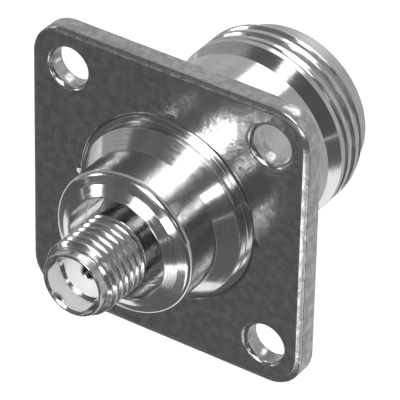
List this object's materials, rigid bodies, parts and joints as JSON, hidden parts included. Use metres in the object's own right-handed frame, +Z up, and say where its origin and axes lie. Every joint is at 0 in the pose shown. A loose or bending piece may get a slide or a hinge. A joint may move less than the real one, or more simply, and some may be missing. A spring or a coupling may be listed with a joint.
{
  "type": "n type coaxial adapter",
  "caption": "Square-flanged coaxial adapter: a large threaded socket jack behind the flange and a small threaded jack on a stepped round hub in front of it.",
  "frame": {"origin": "on the axis, in the flange's front face, at the centre of the four screw holes", "axes": "+Y along the axis towards the large jack, -Y towards the small jack, +Z up and +X right along the flange's sides, seen from the small jack"},
  "size_m": [0.025, 0.0301, 0.025],
  "materials": {
    "plate": "tumbled nickel plating, mottled and scratched",
    "shell": "turned, nickel plated, bright",
    "barrel": "turned, nickel plated, bright",
    "insulator": "white, waxy",
    "contact": "plated, satin"
  },
  "bodies": {
    "root": {"flange": "plate", "body": "shell", "small_barrel": "barrel", "bush": "shell", "bead": "insulator", "sleeve": "insulator", "large_contact": "contact", "small_contact": "contact"}
  },
  "joints": []
}
